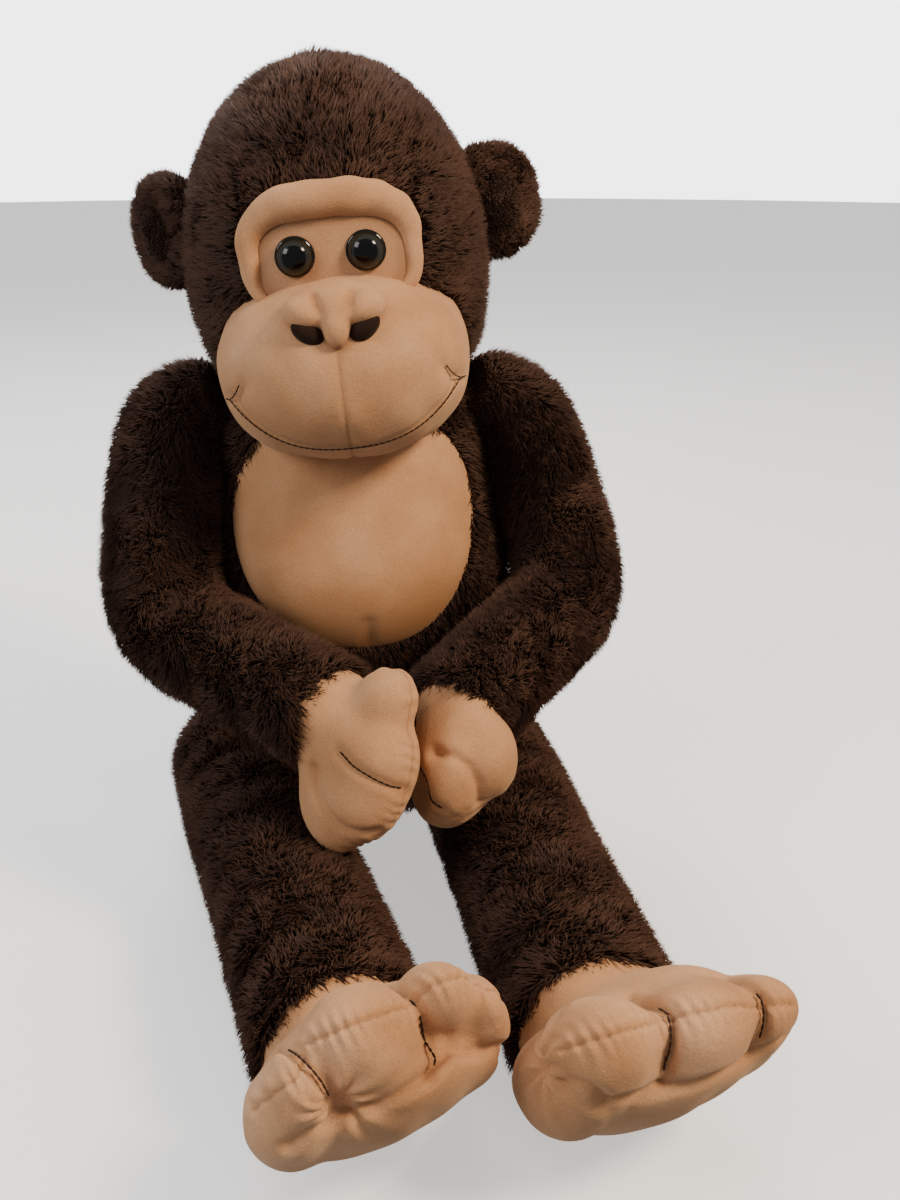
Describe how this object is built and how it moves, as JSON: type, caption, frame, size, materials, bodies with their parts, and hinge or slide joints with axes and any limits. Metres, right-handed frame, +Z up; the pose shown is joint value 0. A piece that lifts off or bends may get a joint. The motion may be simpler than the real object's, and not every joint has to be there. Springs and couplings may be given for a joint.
{
  "type": "stuffed monkey",
  "caption": "Seated long-limbed plush monkey with brown fur, tan face, belly, hands and feet, plastic eyes, a turning head and limbs that bend at sewn joints.",
  "frame": {"origin": "middle of the flat seat underneath the torso", "axes": "+Z up, the monkey faces -Y, its own left side is +X"},
  "size_m": [0.4087, 0.6408, 0.5972],
  "materials": {
    "brown_fur": "dark chocolate curly pile plush, about 10 mm long",
    "tan_plush": "short velvety tan plush with a nap",
    "dark_plush": "short dark brown plush",
    "thread": "dark brown embroidery thread",
    "filling": "white polyester fibre filling",
    "eye_plastic": "glossy black dome with a dark olive iris",
    "washer_plastic": "white moulded locking washer"
  },
  "bodies": {
    "torso": {"torso_cover": "brown_fur", "torso_fill": "filling", "belly_panel": "tan_plush"},
    "head": {"head_cover": "brown_fur", "head_fill": "filling", "muzzle_cover": "tan_plush", "muzzle_fill": "filling", "brow_roll": "tan_plush", "eye_panel": "tan_plush", "nose": "tan_plush", "nostrils": "dark_plush", "mouth_stitch": "thread", "eye_right": "eye_plastic", "eye_left": "eye_plastic", "eye_washers": "washer_plastic", "ear_right": "brown_fur", "ear_left": "brown_fur", "ear_lining_right": "dark_plush", "ear_lining_left": "dark_plush"},
    "upper_arm_right": {"upper_arm_right": "brown_fur", "upper_arm_fill_right": "filling"},
    "upper_arm_left": {"upper_arm_left": "brown_fur", "upper_arm_fill_left": "filling"},
    "forearm_right": {"forearm_right": "brown_fur", "forearm_fill_right": "filling"},
    "forearm_left": {"forearm_left": "brown_fur", "forearm_fill_left": "filling"},
    "hand_right": {"hand_right": "tan_plush", "hand_fill_right": "filling", "hand_stitch_right": "thread"},
    "hand_left": {"hand_left": "tan_plush", "hand_fill_left": "filling", "hand_stitch_left": "thread"},
    "thigh_right": {"thigh_right": "brown_fur", "thigh_fill_right": "filling"},
    "thigh_left": {"thigh_left": "brown_fur", "thigh_fill_left": "filling"},
    "shin_right": {"shin_right": "brown_fur", "shin_fill_right": "filling"},
    "shin_left": {"shin_left": "brown_fur", "shin_fill_left": "filling"},
    "foot_right": {"foot_right": "tan_plush", "foot_fill_right": "filling", "toe_stitch_right": "thread"},
    "foot_left": {"foot_left": "tan_plush", "foot_fill_left": "filling", "toe_stitch_left": "thread"}
  },
  "joints": [
    {"name": "neck_turn", "type": "hinge", "parent": "torso", "child": "head", "pos_m": [0, 0, 0.366], "axis": [0, 0, 1], "range_deg": [-14, 22]},
    {"name": "shoulder_raise_right", "type": "hinge", "parent": "torso", "child": "upper_arm_right", "pos_m": [-0.1369, -0.008, 0.34], "axis": [-1, 0, 0], "range_deg": [0, 80]},
    {"name": "elbow_open_right", "type": "hinge", "parent": "upper_arm_right", "child": "forearm_right", "pos_m": [-0.15426, -0.07511, 0.19579], "axis": [-0.2425, 0, -0.9701], "range_deg": [0, 60]},
    {"name": "wrist_lift_right", "type": "hinge", "parent": "forearm_right", "child": "hand_right", "pos_m": [-0.034, -0.221, 0.177], "axis": [-0.8354, -0.5496, 0], "range_deg": [0, 24]},
    {"name": "hip_raise_right", "type": "hinge", "parent": "torso", "child": "thigh_right", "pos_m": [-0.098, -0.045, 0.055], "axis": [-1, 0, 0], "range_deg": [-40, 0]},
    {"name": "knee_bend_right", "type": "hinge", "parent": "thigh_right", "child": "shin_right", "pos_m": [-0.06551, -0.23829, 0.05393], "axis": [0.9862, 0.1658, 0], "range_deg": [0, 55]},
    {"name": "ankle_tip_right", "type": "hinge", "parent": "shin_right", "child": "foot_right", "pos_m": [-0.037, -0.4079, 0.053], "axis": [0.9862, 0.1658, 0], "range_deg": [-12, 12]},
    {"name": "shoulder_raise_left", "type": "hinge", "parent": "torso", "child": "upper_arm_left", "pos_m": [0.1369, -0.008, 0.34], "axis": [-1, 0, 0], "range_deg": [0, 80]},
    {"name": "elbow_open_left", "type": "hinge", "parent": "upper_arm_left", "child": "forearm_left", "pos_m": [0.1787, -0.05239, 0.19207], "axis": [-0.2425, 0, 0.9701], "range_deg": [0, 60]},
    {"name": "wrist_lift_left", "type": "hinge", "parent": "forearm_left", "child": "hand_left", "pos_m": [0.063, -0.201, 0.167], "axis": [-0.9756, 0.2195, 0], "range_deg": [0, 24]},
    {"name": "hip_raise_left", "type": "hinge", "parent": "torso", "child": "thigh_left", "pos_m": [0.098, -0.045, 0.055], "axis": [-1, 0, 0], "range_deg": [-40, 0]},
    {"name": "knee_bend_left", "type": "hinge", "parent": "thigh_left", "child": "shin_left", "pos_m": [0.10492, -0.24088, 0.05393], "axis": [0.9994, 0.0353, 0], "range_deg": [0, 55]},
    {"name": "ankle_tip_left", "type": "hinge", "parent": "shin_left", "child": "foot_left", "pos_m": [0.111, -0.41276, 0.053], "axis": [0.9994, 0.0353, 0], "range_deg": [-12, 12]}
  ]
}
